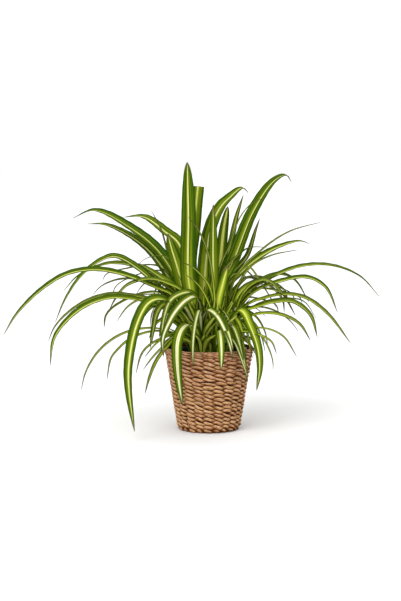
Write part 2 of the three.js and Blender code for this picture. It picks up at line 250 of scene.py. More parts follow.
def add_weaving_strand(mould, row, partner, middle_height, size):
    """One strand of a pair, which floats in front of every second stake. The factors of row and
    partner only pick another stretch of noise for each strand."""

    def weave_at(around):
        """How far the strand has swung in and out: at each full turn it is in front of a stake."""
        wander = slow_wander * ring_noise(around, 2.5, 1.3 * row)
        wander += quick_wander * ring_noise(around, 6, 3.1 * row + 9 * partner)
        return around * stake_count / 2 + math.pi * (partner + 0.5) + wander

    def float_noise(around, layer):
        """One value from -1 to 1 for the whole stretch in front of a stake."""
        stretch = math.floor(weave_at(around) / (2 * math.pi) + 0.5) % (stake_count // 2)
        spot = Vector((stretch * 3.7, row * 5.3 + partner * 2.9, layer))
        return max(-1, min(1, float_contrast * noise.noise(spot)))

    def place(share, section):
        around = 2 * math.pi * share
        weave = weave_at(around)
        swell = max(math.cos(weave), 0) ** 0.9
        uneven = ring_noise(around, 5, 0.9 * row)
        slant = weave_slant * (1 + slant_spread * float_noise(around, 3.5))
        height = middle_height + size * (row_wander * uneven - slant * math.sin(weave))
        height += float_shift * size * swell * float_noise(around, 5.5)
        middle = outer_radius(height) - wall_inset + weave_depth * math.cos(weave)
        thick = strand_thick + swell * (float_thick + float_thick_spread * float_noise(around, 0.5))
        extra_tall = float_tall + float_tall_spread * float_noise(around, 2.5)
        tall = size * (strand_tall + swell * extra_tall)
        ridge = 1 + twist_ridge * math.cos(3 * section + 2 * math.pi * twist_count * share)
        return ring_point(around, middle + thick * ridge * math.cos(section),
                          max(height + tall * ridge * math.sin(section), ground_gap))

    def tone(share):
        around = 2 * math.pi * share
        return 0.5 + 0.5 * float_noise(around, 7.5), 0.5 + 0.5 * float_noise(around, 11.5)

    add_strand(mould, place, tone, steps=9 * stake_count, sides=10)


def add_rim_cord(mould):
    """A twisted cord that lies along the top of the rim."""
    def place(share, section):
        around = 2 * math.pi * share
        uneven = ring_noise(around, 4, 7)
        ridge = 1 + cord_ridge * math.cos(2 * section + cord_twists * around)
        ridge += cord_lumps * uneven
        middle = outer_radius(cord_height) - wall_inset + cord_sway * uneven
        height = cord_height + cord_heave * uneven
        return ring_point(around, middle + cord_thick * ridge * math.cos(section),
                          height + cord_tall * ridge * math.sin(section))

    def tone(share):
        around = 2 * math.pi * share
        return 0.5 + ring_noise(around, 9, 31), 0.5 + ring_noise(around, 7, 47)

    add_strand(mould, place, tone, steps=14 * stake_count, sides=10)


def add_base_strand(mould, radius):
    """A flat strand of the base, which dips under every second stake's inner end."""
    def place(share, section):
        around = 2 * math.pi * share
        dip = base_dip * math.cos(around * stake_count / 2 + 900 * radius)
        return ring_point(around, radius + base_wide * math.cos(section),
                          base_height + dip + base_thick * math.sin(section))

    def tone(share):
        return 0.5 + ring_noise(2 * math.pi * share, 6, 600 * radius), 0.2

    add_strand(mould, place, tone, steps=4 * stake_count, sides=6)


def add_stake(mould, around):
    """An upright stake, from the foot up to the rim."""
    def place(share, section):
        height = stake_foot + share * (basket_height - stake_shortfall)
        radius = outer_radius(height) - wall_inset + stake_thick * math.cos(section)
        return ring_point(around + stake_wide * math.sin(section) / radius, radius, height)

    add_strand(mould, place, lambda share: (0.3, 0.3), steps=18, sides=6)


def add_knot(mould, around, height, size):
    """A strand's turned-in end, tucked over the rim as a small knot."""
    knot = bmesh.ops.create_icosphere(mould, subdivisions=3, radius=1)["verts"]
    tone_layer = mould.verts.layers.float_color["strand_tone"]
    centre = ring_point(around, outer_radius(height) - knot_inset, height)
    for vert in knot:
        lump = 1 + 0.35 * noise.noise(vert.co * 1.9 + centre * 90)
        squeezed = Vector([part * share for part, share in zip(vert.co, knot_squeeze)])
        vert.co = centre + squeezed * size * lump
        vert[tone_layer] = (0.6, 0.7, 0, 1)


def add_loose_end(mould, around, height, reach, drop):
    """A thin fibre end that stands out from the wall and hangs down."""
    def place(share, section):
        radius = outer_radius(height) - loose_end_inset + reach * math.sin(0.5 * math.pi * share)
        thick = loose_end_thick * (1 - 0.8 * share)
        middle = ring_point(around + 0.1 * share, radius, height - drop * share * share)
        return middle + Vector((thick * math.cos(section), thick * math.sin(section), 0))

    add_strand(mould, place, lambda share: (0.8, 0.3), steps=8, sides=5)


basket_mould = start_strips("strand_place", "strand_tone")
weave_rows = [((row + 0.5) * row_pitch, 1) for row in range(row_count)] + list(rim_rows)
for row, (row_height, row_size) in enumerate(weave_rows):
    for partner in range(2):
        add_weaving_strand(basket_mould, row, partner, row_height, row_size)
add_rim_cord(basket_mould)
for base_ring in range(base_rings):
    add_base_strand(basket_mould, base_start + base_pitch * base_ring)
for stake in range(stake_count):
    add_stake(basket_mould, 2 * math.pi * stake / stake_count)
for knot_place in knots:
    add_knot(basket_mould, *knot_place)
for end_place in loose_ends:
    add_loose_end(basket_mould, *end_place)
open_edges = [edge for edge in basket_mould.edges if edge.is_boundary]
bmesh.ops.holes_fill(basket_mould, edges=open_edges)
bmesh.ops.recalc_face_normals(basket_mould, faces=basket_mould.faces)
basket = finish_mesh(basket_mould, "woven_basket")


def calculate(operation, *values):
    """One sum on one to three values, of which the first is a socket."""
    inputs = dict(enumerate(values))
    made = add_node(values[0].id_data, "ShaderNodeMath", inputs, operation=operation)
    return made.outputs[0]


def ease(value, low, high, at_high=1.0, at_low=0.0):
    """A mask that turns smoothly from at_low to at_high while a value goes from low to high."""
    reach = {"Value": value, "From Min": low, "From Max": high, "To Min": at_low, "To Max": at_high}
    made = add_node(value.id_data, "ShaderNodeMapRange", reach, interpolation_type="SMOOTHSTEP")
    return made.outputs["Result"]


def mix_colors(share, first, second):
    """Blend two colours by a mask."""
    ends = {0: share, 6: first, 7: second}
    return add_node(share.id_data, "ShaderNodeMix", ends, data_type="RGBA").outputs[2]


def cover(color, layers):
    """Lay colours over one another, each by its own mask."""
    for share, upper in layers:
        color = mix_colors(share, color, upper)
    return color


def split_axes(vector):
    """The three parts of a place."""
    return add_node(vector.id_data, "ShaderNodeSeparateXYZ", {"Vector": vector}).outputs


def join_axes(x, y, z=0.0):
    """A place from its three parts."""
    return add_node(x.id_data, "ShaderNodeCombineXYZ", {0: x, 1: y, 2: z}).outputs["Vector"]


def make_grain_group():
    """Uneven fibres or grit, as a mask from 0 to 1: fine ones and broad ones."""
    group = bpy.data.node_groups.new("grain", "ShaderNodeTree")
    group.interface.new_socket("Vector", in_out="INPUT", socket_type="NodeSocketVector")
    group.interface.new_socket("Scale", in_out="INPUT", socket_type="NodeSocketFloat")
    group.interface.new_socket("Fine", in_out="OUTPUT", socket_type="NodeSocketFloat")
    group.interface.new_socket("Broad", in_out="OUTPUT", socket_type="NodeSocketFloat")
    entry = group.nodes.new("NodeGroupInput")
    leave = group.nodes.new("NodeGroupOutput")
    fine = add_node(group, "ShaderNodeTexNoise", {
        "Vector": entry.outputs["Vector"], "Scale": entry.outputs["Scale"],
        "Detail": 4.0, "Roughness": 0.62})
    broad_scale = calculate("MULTIPLY", entry.outputs["Scale"], 0.13)
    broad = add_node(group, "ShaderNodeTexNoise", {
        "Vector": entry.outputs["Vector"], "Scale": broad_scale, "Detail": 2.0})
    group.links.new(fine.outputs["Fac"], leave.inputs["Fine"])
    group.links.new(broad.outputs["Fac"], leave.inputs["Broad"])
    return group


grain_group = make_grain_group()


def add_grain(vector, scale):
    """The shared grain in one material: its fine and its broad mask."""
    inputs = {"Vector": vector, "Scale": scale}
    made = add_node(vector.id_data, "ShaderNodeGroup", inputs, node_tree=grain_group)
    return made.outputs["Fine"], made.outputs["Broad"]


def finish_shader(shader, color, roughness, relief, strength, depth):
    """Give a shader its colour, its roughness, and a mask raised as relief."""
    tree = shader.id_data
    bump = add_node(tree, "ShaderNodeBump", {
        "Strength": strength, "Distance": depth, "Height": relief})
    tree.links.new(color, shader.inputs["Base Color"])
    tree.links.new(roughness, shader.inputs["Roughness"])
    tree.links.new(bump.outputs["Normal"], shader.inputs["Normal"])


straw, straw_tree, straw_shader = new_material("woven_straw")
straw_uv = add_node(straw_tree, "ShaderNodeUVMap", {}, uv_map="strand_place").outputs["UV"]
strand_along, strand_around, _ = split_axes(straw_uv)
straw_look = add_node(straw_tree, "ShaderNodeVertexColor", {}, layer_name="strand_tone")
straw_tones = add_node(straw_tree, "ShaderNodeSeparateColor", {
    "Color": straw_look.outputs["Color"]})
straw_gilt, straw_blush, _ = straw_tones.outputs
straw_place = add_node(straw_tree, "ShaderNodeTexCoord", {}).outputs["Object"]
straw_x, straw_y, straw_height = split_axes(straw_place)

# Twisted fibres run along each strand, and change from row to row with its height.
fibre_turn = calculate("MULTIPLY_ADD", strand_along, 30.0, 0.5)
fibre_side = calculate("ADD", calculate("MULTIPLY", strand_around, fibre_count), fibre_turn)
fibre_place = join_axes(fibre_side, calculate("MULTIPLY", strand_along, 110.0),
                        calculate("MULTIPLY", straw_height, 300.0))
straw_fine = add_grain(fibre_place, 0.8)[0]
straw_streak = add_grain(fibre_place, 0.3)[0]

# Painted highlight on each strand's upper side; painted shade on its underside and in the gaps
# behind.
straw_rise = calculate("SINE", calculate("MULTIPLY", strand_around, 2 * math.pi))
straw_radius = add_node(straw_tree, "ShaderNodeVectorMath", {0: join_axes(straw_x, straw_y)},
                        operation="LENGTH").outputs["Value"]
straw_wall = calculate("MULTIPLY_ADD", straw_height, wall_slope, wall_at_ground)
straw_depth = calculate("SUBTRACT", straw_wall, straw_radius)
straw_redness = calculate("ADD", ease(straw_height, 0.07, 0.15, 0.55),
                          ease(straw_blush, 0.55, 0.9, 0.45))
straw_color = cover(mix_colors(straw_gilt, straw_tan, straw_gold), [
    (straw_redness, straw_red),
    (ease(straw_streak, 0.50, 0.62, 0.65), straw_pale),
    (ease(straw_streak, 0.48, 0.37, 0.75), straw_dark),
    (ease(straw_fine, 0.52, 0.68, 0.60), straw_pale),
    (ease(straw_fine, 0.47, 0.35, 0.85), straw_dark),
    # Painted highlight on the upper side, painted shade underneath and in the gaps behind the
    # strands.
    (ease(straw_rise, 0.1, 0.9, 0.65), straw_pale),
    (ease(straw_rise, 0.0, -0.8, 0.92), straw_dark),
    (ease(straw_depth, 0.0012, 0.0032, 0.97), straw_dark),
])
straw_roughness = ease(straw_fine, 0.3, 0.7, 0.55, at_low=0.8)
finish_shader(straw_shader, straw_color, straw_roughness, straw_fine, 0.9, 0.0010)
straw_shader.inputs["Specular IOR Level"].default_value = 0.10
basket.data.materials.append(straw)
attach(basket, "root")
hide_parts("basket")

# Nursery pot
# A black plastic pot with a rolled rim and drain holes stands on the basket's floor and keeps the
# wet soil off the fibre. Its rim ends a little below the basket's.
pot_foot = 0.00735
pot_floor = 0.002
pot_wall = 0.0015
pot_top = 0.150
pot_gap = 0.00765
pot_bevel = 0.002
pot_sides = 96
lip_width = 0.0028
lip_bevel = 0.001
lip_inset = 0.0008
lip_swell = 0.0004
lip_depth = 0.004
lip_blend = 0.006
drain_holes = 5
drain_radius = 0.005
drain_circle = 0.033
drill_length = 0.012
pot_black = (0.012, 0.012, 0.013, 1)
pot_worn = (0.045, 0.042, 0.038, 1)
pot_dusty = (0.09, 0.07, 0.05, 1)


def pot_radius(height):
    """The pot's outer radius, just inside the basket's wall."""
    return wall_at_ground - pot_gap + wall_slope * height


lip_inside = pot_radius(pot_top) - lip_width
pot_profile = [
    (0, pot_foot),
    (pot_radius(pot_foot) - pot_bevel, pot_foot),
    (pot_radius(pot_foot + pot_bevel), pot_foot + pot_bevel),
    (pot_radius(pot_top - lip_bevel), pot_top - lip_bevel),
    (pot_radius(pot_top) - lip_inset, pot_top),
    (lip_inside, pot_top),
    (lip_inside - lip_swell, pot_top - lip_bevel),
    (lip_inside, pot_top - lip_depth),
    (pot_radius(pot_top - lip_blend) - pot_wall, pot_top - lip_blend),
    (pot_radius(pot_foot + pot_floor) - pot_wall, pot_foot + pot_floor),
    (0, pot_foot + pot_floor),
]
pot_mould = bmesh.new()
pot_verts = [pot_mould.verts.new((radius, 0, height)) for radius, height in pot_profile]
pot_edges = [pot_mould.edges.new(pair) for pair in zip(pot_verts, pot_verts[1:])]
bmesh.ops.spin(pot_mould, geom=pot_verts + pot_edges, cent=(0, 0, 0), axis=(0, 0, 1),
               angle=2 * math.pi, steps=pot_sides, use_merge=True)
bmesh.ops.remove_doubles(pot_mould, verts=pot_mould.verts, dist=1e-6)
bmesh.ops.recalc_face_normals(pot_mould, faces=pot_mould.faces)
nursery_pot = finish_mesh(pot_mould, "nursery_pot")
drill_mould = bmesh.new()
for hole in range(drain_holes):
    drill = bmesh.ops.create_cone(drill_mould, cap_ends=True, segments=24, radius1=drain_radius,
                                  radius2=drain_radius, depth=drill_length)["verts"]
    hole_place = ring_point(2 * math.pi * hole / drain_holes, drain_circle, pot_foot)
    bmesh.ops.translate(drill_mould, verts=drill, vec=hole_place)
drills = finish_mesh(drill_mould, "drills")
drain_cut = nursery_pot.modifiers.new("drain_cut", "BOOLEAN")
drain_cut.operation = "DIFFERENCE"
drain_cut.solver = "EXACT"
drain_cut.object = drills
drilled_pot = nursery_pot.evaluated_get(bpy.context.evaluated_depsgraph_get())
nursery_pot.data = bpy.data.meshes.new_from_object(drilled_pot)
nursery_pot.modifiers.clear()
bpy.data.objects.remove(drills)
pot_plastic, pot_tree, pot_shader = new_material("pot_plastic")
pot_place = add_node(pot_tree, "ShaderNodeTexCoord", {}).outputs["Object"]
pot_scuff, pot_dust = add_grain(pot_place, 240.0)
pot_color = mix_colors(ease(pot_scuff, 0.5, 0.75), pot_black, pot_worn)
pot_color = mix_colors(ease(pot_dust, 0.55, 0.75, 0.3), pot_color, pot_dusty)
pot_roughness = ease(pot_scuff, 0.3, 0.7, 0.6, at_low=0.35)
finish_shader(pot_shader, pot_color, pot_roughness, pot_scuff, 0.2, 0.0003)
nursery_pot.data.materials.clear()
nursery_pot.data.materials.append(pot_plastic)
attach(nursery_pot, "root")
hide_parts("liner")

# Soil
# Dark peaty potting mix fills the pot, uneven on top, with loose crumbs and bits of bark on it.
soil_top = 0.140
soil_bottom = 0.0098
soil_radius = 0.0722
soil_foot_radius = 0.0512
soil_lumps = 0.0020
soil_pits = 0.0010
crumb_count = 420
crumb_circle = 0.068
crumb_least = 0.0008
crumb_spread = 0.0017
crumb_lift = 0.0008
peat_black = (0.008, 0.005, 0.003, 1)
peat_brown = (0.060, 0.034, 0.018, 1)
peat_bark = (0.10, 0.062, 0.034, 1)


def seeded_draws(seed):
    """A repeatable stream of numbers from 0 to 1."""
    state = seed
    while True:
        state = state * 16807 % 2147483647
        yield state / 2147483647


soil_mould = bmesh.new()
bmesh.ops.create_grid(soil_mould, x_segments=64, y_segments=64, size=1)
for vert in soil_mould.verts:
    x, y = vert.co.x, vert.co.y
    vert.co.x = soil_radius * x * math.sqrt(1 - y * y / 2)
    vert.co.y = soil_radius * y * math.sqrt(1 - x * x / 2)
    vert.co.z = 0
    lumps = soil_lumps * noise.noise(vert.co * 70)
    vert.co.z = soil_top + lumps + soil_pits * noise.noise(vert.co * 260)
soil_edge = [edge for edge in soil_mould.edges if edge.is_boundary]
soil_skirt = bmesh.ops.extrude_edge_only(soil_mould, edges=soil_edge)["geom"]
for vert in [part for part in soil_skirt if isinstance(part, bmesh.types.BMVert)]:
    vert.co.x *= soil_foot_radius / soil_radius
    vert.co.y *= soil_foot_radius / soil_radius
    vert.co.z = soil_bottom
soil_open = [edge for edge in soil_mould.edges if edge.is_boundary]
bmesh.ops.holes_fill(soil_mould, edges=soil_open)
crumb_draw = seeded_draws(77)
for crumb in range(crumb_count):
    crumb_radius = crumb_circle * math.sqrt(next(crumb_draw))
    crumb_around = 2 * math.pi * next(crumb_draw)
    crumb_size = crumb_least + crumb_spread * next(crumb_draw) ** 2
    crumb_flat = 0.5 + 0.5 * next(crumb_draw)
    for vert in bmesh.ops.create_icosphere(soil_mould, subdivisions=1, radius=crumb_size)["verts"]:
        vert.co *= 1 + 0.4 * noise.noise(vert.co * 900 + Vector((crumb, 0, 0)))
        vert.co.z *= crumb_flat
        vert.co += ring_point(crumb_around, crumb_radius, soil_top + crumb_lift)
bmesh.ops.recalc_face_normals(soil_mould, faces=soil_mould.faces)
soil = finish_mesh(soil_mould, "potting_soil")
peat, peat_tree, peat_shader = new_material("peat")
peat_place = add_node(peat_tree, "ShaderNodeTexCoord", {}).outputs["Object"]
peat_grit, peat_damp = add_grain(peat_place, 400.0)
peat_color = mix_colors(ease(peat_grit, 0.4, 0.66), peat_black, peat_brown)
peat_color = mix_colors(ease(peat_damp, 0.55, 0.75, 0.5), peat_color, peat_bark)
peat_roughness = ease(peat_damp, 0.3, 0.7, 0.95, at_low=0.75)
finish_shader(peat_shader, peat_color, peat_roughness, peat_grit, 0.8, 0.001)
soil.data.materials.append(peat)
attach(soil, "root")
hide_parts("soil")

# Leaves and crowns
# Each rosette grows from one short crown in the soil. A leaf is a thin channelled strap, green with
# a pale stripe down the middle, that rises, arches over and ends in a thin tip, dry on most leaves.
mm = 0.001
crown_circle = 28 * mm
crown_radius = 9 * mm
crown_depth = 15 * mm
crown_height = 30 * mm
root_spread = 4.5
leaf_root = 137
leaf_thickness = 0.7 * mm
leaf_faces_across = 10
leaf_step = 6 * mm
channel_rise = 0.45
ripple_length = 24 * mm
ripple_rise = 0.04
twist_spread = 12
sway_spread = 4 * mm
thin_width = 10.5
thin_share = 0.78
tip_share = 0.03
tip_reach = 100 * mm
long_tip_reach = 0.9
long_leaf = (0.20, 0.32)
cut_length = 12 * mm
inner_leaves = 26
outer_leaves = 18
outer_fan = 130
inner_width = 9
outer_width = 11
young_width_spread = 5
young_turn = 40
# Leaves that face the lights get a painted highlight: a wider and paler, creamier stripe.
painted_lit_facing = (0.62, 0.84)
painted_lit_tip_height = (240, 190)
finest_width = 8
broad_width = (20, 26)
tall_leaf_width = 30
stripe_least = 0.11
stripe_spread = 0.09
stripe_if_painted_lit = 0.17
stripe_if_broad = 0.06
stripe_if_blunt = 0.08
cream_spread = 0.35
cream_if_painted_lit = 0.65
samples_a_span = 16
soil_level = 140
back_count = 9
back_span = 56
behind_pot = 22

# A leaf is its azimuth, width and turn about its own length, the points of its line as distance out
# from the crown and height above the ground, and the form of a tip that isn't thin, in millimetres
# and degrees.
right_leaves = [
    [25, 9, 15, [[24, 283], [84, 340], [142, 373], [209, 390]]],
    [20, 9, 20, [[20, 250], [53, 306], [95, 328], [154, 339]]],
    [8, 16, 18, [[41, 253], [89, 285], [150, 308], [210, 309], [265, 288], [303, 250]]],
    [-8, 16, 24, [[20, 215], [60, 262], [116, 285], [160, 291], [193, 273], [216, 227]]],
    [12, 16, 20, [[32, 260], [81, 286], [112, 294], [140, 281], [168, 239]]],
    [-14, 12, 24, [[42, 264], [80, 287], [109, 267], [139, 221]]],
    [-12, 9, 20, [[15, 262], [32, 300], [48, 310], [72, 280], [101, 236]]],
    [-15, 15, 20, [[42, 233], [81, 251], [119, 259], [157, 254], [198, 227], [244, 173]]],
    [-22, 16, 25, [[24, 217], [64, 233], [104, 245], [139, 247], [172, 225], [187, 185]]],
    [2, 9, 20, [[30, 205], [60, 235], [98, 247], [126, 249], [153, 243], [177, 211]]],
    [-28, 12, 22, [[25, 195], [60, 218], [97, 225], [131, 221], [159, 208], [181, 180]]],
    [-4, 9, 20, [[20, 205], [45, 230], [69, 234], [100, 226], [126, 208], [142, 188]]],
    [16, 9, 15, [[20, 200], [45, 232], [62, 230], [86, 212]]],
    [-26, 8, 15, [[20, 170], [45, 192], [75, 184], [92, 162], [102, 136], [103, 120]]],
    [5, 8, 20, [[6, 240], [12, 285], [22, 296], [42, 291], [64, 284]]],
    [14, 11, 30, [[15, 195], [42, 222], [62, 212], [80, 185], [88, 155]]],
]
back_right_leaves = [
    [230, 22, 35, [[4, 247], [7, 330], [8, 400], [9, 428]]],
    [75, 22, 15, [[12, 262], [36, 318], [60, 376], [92, 420]], "blunt"],
    [62, 15, 5, [[26, 281], [63, 353], [85, 398], [116, 442]]],
    [45, 28, 25, [[17, 272], [50, 322], [100, 407], [158, 466], [198, 479], [214, 466]]],
    [38, 8, -5, [[8, 300], [35, 350], [56, 396], [85, 425], [118, 437]]],
    [40, 16, 10, [[12, 250], [43, 291], [82, 325], [103, 376], [112, 397]]],
    [33, 18, 25, [[13, 252], [55, 292], [102, 322], [150, 341], [199, 350], [223, 344]]],
    [35, 10, 10, [[13, 290], [38, 316], [76, 340], [123, 341]]],
    [183, 14, -85, [[5, 200], [7, 250], [12, 296]], "blunt"],
]
back_left_leaves = [
    [147, 24, -25, [[37, 242], [97, 330], [168, 377], [253, 409], [308, 393]]],
    [138, 20, -20, [[57, 245], [137, 331], [249, 377], [312, 379]]],
    [128, 24, -20, [[30, 250], [68, 345], [117, 370], [183, 395], [256, 393]]],
    [135, 9, 5, [[45, 230], [90, 316], [113, 375], [139, 411]]],
    [150, 23, -45, [[20, 250], [25, 320], [17, 378], [12, 428], [8, 462]], "cut"],
    [50, 30, 20, [[4, 230], [10, 280], [17, 331], [24, 365], [39, 397], [61, 422], [85, 437],
                  [124, 455], [143, 446]]],
    [50, 15, 30, [[6, 200], [13, 250], [20, 300]], "blunt"],
]
left_leaves = [
    [160, 27, -60, [[20, 246], [33, 303], [47, 347], [53, 372]], "blunt"],
    [175, 31, -75, [[4, 247], [10, 295], [10, 409], [13, 508]], "blunt"],
    [184, 17, -35, [[36, 249], [74, 270], [130, 293], [187, 304], [240, 296], [290, 266],
                    [335, 222], [360, 184]]],
    [171, 18, -25, [[10, 200], [56, 254], [102, 301], [152, 328], [182, 319], [220, 288],
                    [250, 245], [271, 200]]],
    [161, 16, -24, [[15, 215], [60, 275], [105, 303], [160, 312], [197, 305], [240, 285],
                    [270, 256]]],
    [190, 12, -25, [[20, 205], [85, 248], [123, 257], [157, 260], [200, 250], [240, 226],
                    [265, 200], [277, 175]]],
    [197, 19, -22, [[15, 190], [63, 232], [141, 254], [174, 253], [212, 240], [246, 215],
                    [270, 183], [279, 133]]],
    [177, 10, -30, [[20, 220], [60, 265], [103, 285], [137, 287], [165, 279], [180, 270],
                    [194, 255]]],
    [187, 12, -35, [[5, 220], [17, 258], [50, 278], [81, 287], [107, 284], [130, 274], [147, 254],
                    [162, 229]]],
    [202, 9, -30, [[20, 205], [60, 240], [100, 252], [123, 246], [139, 234], [155, 213]]],
    [155, 9, -15, [[10, 240], [35, 300], [57, 326], [88, 327], [110, 318], [120, 308]]],
    [166, 20, -35, [[15, 225], [47, 276], [66, 288], [86, 301], [110, 315]]],
    [181, 8, -30, [[20, 240], [60, 275], [85, 282], [97, 275], [112, 255]]],
    [193, 9, -35, [[15, 215], [60, 255], [75, 259], [105, 259]]],
    [203, 10, -20, [[25, 175], [70, 194], [110, 196], [144, 189], [175, 173], [199, 151],
                    [218, 120], [227, 89]]],
    [206, 10, -20, [[25, 174], [75, 190], [112, 186], [137, 176], [160, 158], [171, 145],
                    [180, 106]]],
    [209, 9, -15, [[25, 180], [60, 178], [80, 168], [106, 144]]],
]
front_left_leaves = [
    [240, 18, -38, [[0, 225], [20, 256], [57, 254], [90, 240], [115, 222], [141, 189], [137, 158]]],
    [228, 15, -45, [[0, 220], [10, 250], [32, 264], [60, 263], [85, 253], [103, 220], [111, 168]]],
    [248, 21, -10, [[15, 185], [60, 208], [98, 203], [116, 184], [119, 155], [112, 115], [92, 61]]],
    [262, 12, 20, [[25, 231], [65, 222], [98, 200], [112, 175], [108, 137]]],
    [218, 12, -10, [[30, 185], [55, 187], [76, 170], [104, 143], [120, 115], [132, 85]]],
    [222, 23, -25, [[40, 220], [100, 256], [129, 251], [156, 214], [175, 143], [176, 100],
                    [165, 19]]],
    [212, 15, -40, [[20, 205], [50, 240], [84, 245], [97, 230], [104, 205], [112, 166]]],
    [216, 9, -15, [[30, 180], [60, 190], [90, 182], [117, 172], [135, 157], [149, 122]]],
    [226, 9, -10, [[40, 190], [75, 188], [104, 170], [130, 153], [153, 133]]],
    [232, 15, 30, [[12, 180], [28, 215], [48, 240], [72, 248], [98, 232], [114, 200]]],
    [214, 12, -45, [[15, 190], [40, 225], [62, 232], [85, 215], [95, 185]]],
    [60, 12, -20, [[4, 190], [9, 240], [12, 275]]],
]
front_right_leaves = [
    [275, 17, 15, [[20, 178], [50, 197], [80, 189], [96, 170], [98, 150], [92, 128]]],
    [285, 16, 40, [[5, 200], [18, 222], [60, 212], [87, 197], [103, 183], [114, 168]]],
    [300, 12, -25, [[3, 205], [16, 231], [39, 222], [49, 211], [54, 198]]],
    [299, 9, 0, [[20, 182], [45, 186], [70, 174], [99, 140], [110, 125], [117, 108]]],
    [309, 12, 25, [[20, 190], [45, 205], [68, 172], [78, 148], [84, 130], [89, 108]]],
    [318, 20, 25, [[25, 195], [61, 233], [83, 205], [100, 170], [106, 133], [100, 88]]],
    [328, 9, 20, [[20, 170], [58, 195], [91, 202], [123, 199], [148, 187], [173, 154]]],
    [322, 9, 25, [[25, 178], [65, 195], [106, 190], [129, 180], [140, 158]]],
    [322, 13, 45, [[20, 195], [35, 222], [50, 215], [60, 197], [68, 178]]],
    [312, 12, 50, [[15, 190], [30, 215], [46, 206], [54, 190], [66, 168]]],
    [172, 9, -50, [[2, 200], [8, 250], [16, 277], [37, 303], [50, 313], [66, 321]]],
    [178, 8, -55, [[5, 205], [19, 252], [35, 278], [57, 297]]],
    [174, 8, -55, [[3, 220], [12, 315], [19, 343], [34, 380], [53, 405]]],
    [305, 9, -10, [[10, 185], [28, 208], [44, 198], [58, 180], [66, 168]]],
    [150, 10, -20, [[3, 185], [8, 230], [12, 262]]],
    [52, 20, 25, [[2, 190], [6, 237], [20, 275], [36, 312]], "blunt"],
]

# Short leaves fill the places between the long ones and hang over the rim.
short_leaves = {
    "right": [
        [-27, 10, 25, [[15, 185], [40, 205], [58, 192], [68, 172], [74, 160]]],
        [-10, 10, 20, [[14, 190], [38, 215], [58, 205], [72, 180], [80, 150]]],
        [-36, 10, 25, [[14, 160], [32, 174], [50, 172], [66, 160], [72, 150]]],
        [-18, 9, 15, [[14, 162], [34, 178], [54, 176], [68, 164]]],
        [4, 10, 15, [[12, 160], [30, 172], [48, 172], [60, 166]]],
    ],
    "back_right": [
        [3, 15, 80, [[8, 200], [15, 250], [20, 300]], "blunt"],
    ],
    "back_left": [],
    "left": [
        [195, 13, -35, [[10, 190], [30, 225], [55, 240], [80, 236], [100, 215], [112, 180]]],
        [200, 10, -15, [[14, 160], [32, 174], [50, 172], [64, 162]]],
        [182, 9, -15, [[12, 162], [30, 176], [46, 174], [58, 166]]],
        [178, 13, -30, [[14, 185], [34, 208], [55, 212], [75, 196], [86, 172]]],
    ],
    "front_left": [
        [300, 15, 25, [[5, 205], [25, 232], [55, 228], [85, 205], [105, 175], [114, 150]]],
    ],
    "front_right": [
        [316, 10, 40, [[18, 188], [38, 214], [52, 205], [62, 186], [68, 172]]],
        [308, 18, 40, [[3, 195], [10, 216], [24, 222], [38, 211], [60, 180], [75, 152], [80, 135]]],
        [322, 8, 40, [[14, 182], [34, 208], [48, 200], [60, 176], [68, 150], [70, 138]]],
        [314, 8, 30, [[10, 180], [30, 198], [46, 190], [60, 168], [68, 142]]],
        [328, 9, 35, [[18, 186], [42, 214], [58, 206], [70, 182], [78, 156]]],
        [334, 9, 20, [[12, 176], [38, 192], [56, 184], [68, 166], [75, 144]]],
    ],
}


def back_leaves(middle, seed):
    """Leaves over the back half of the pot, which hang behind it or arch out to the sides."""
    draw = seeded_draws(seed)
    leaves = []
    for i in range(back_count):
        azimuth = middle - back_span / 2 + back_span * (i + 0.5) / back_count
        azimuth += 3 * (next(draw) - 0.5)
        hangs = abs(azimuth - 90) < behind_pot
        reach = 120 + 60 * next(draw) if hangs else 150 + 130 * next(draw)
        crest = 215 + 60 * next(draw) if hangs else 235 + 75 * next(draw)
        tip = 60 + 90 * next(draw) if hangs else crest - 30 - 55 * next(draw)
        width = 9 + 9 * next(draw)
        line = [
            [reach * 0.16, soil_level + (crest - soil_level) * 0.68],
            [reach * 0.42, crest],
            [reach * 0.76, crest - (crest - tip) * 0.24],
            [reach * 0.97, crest - (crest - tip) * 0.66],
            [reach, tip],
        ]
        leaves.append([round(azimuth), width, 20 * (next(draw) - 0.5), line])
    return leaves


def spline_through(points):
    """A centripetal Catmull-Rom curve through the points, sampled finely."""
    ends = [points[0] * 2 - points[1], *points, points[-1] * 2 - points[-2]]
    samples = []
    for before, start, end, after in zip(ends, ends[1:], ends[2:], ends[3:]):
        gap_before = (start - before).length ** 0.5
        gap = (end - start).length ** 0.5
        gap_after = (after - end).length ** 0.5
        chord = (end - start) / gap
        slope_start = (start - before) / gap_before - (end - before) / (gap_before + gap) + chord
        slope_end = chord - (after - start) / (gap + gap_after) + (after - end) / gap_after
        slope_start *= gap
        slope_end *= gap
        for step in range(samples_a_span):
            t = step / samples_a_span
            samples.append(start + slope_start * t
                           + (3 * (end - start) - 2 * slope_start - slope_end) * t * t
                           + (2 * (start - end) + slope_start + slope_end) * t * t * t)
    return samples + [points[-1]]


def even_stations(samples, count):
    """Points at even distances along a sampled curve, each with the direction there."""
    lengths = [0.0]
    for first, second in zip(samples, samples[1:]):
        lengths.append(lengths[-1] + (second - first).length)
    stations = []
    span = 0
    for i in range(count + 1):
        wanted = lengths[-1] * i / count
        while span < len(samples) - 2 and lengths[span + 1] < wanted:
            span += 1
        share = (wanted - lengths[span]) / (lengths[span + 1] - lengths[span])
        stations.append(samples[span].lerp(samples[span + 1], share))
    aheads = [(stations[min(i + 1, count)] - stations[max(i - 1, 0)]).normalized()
              for i in range(count + 1)]
    return list(zip(stations, aheads))


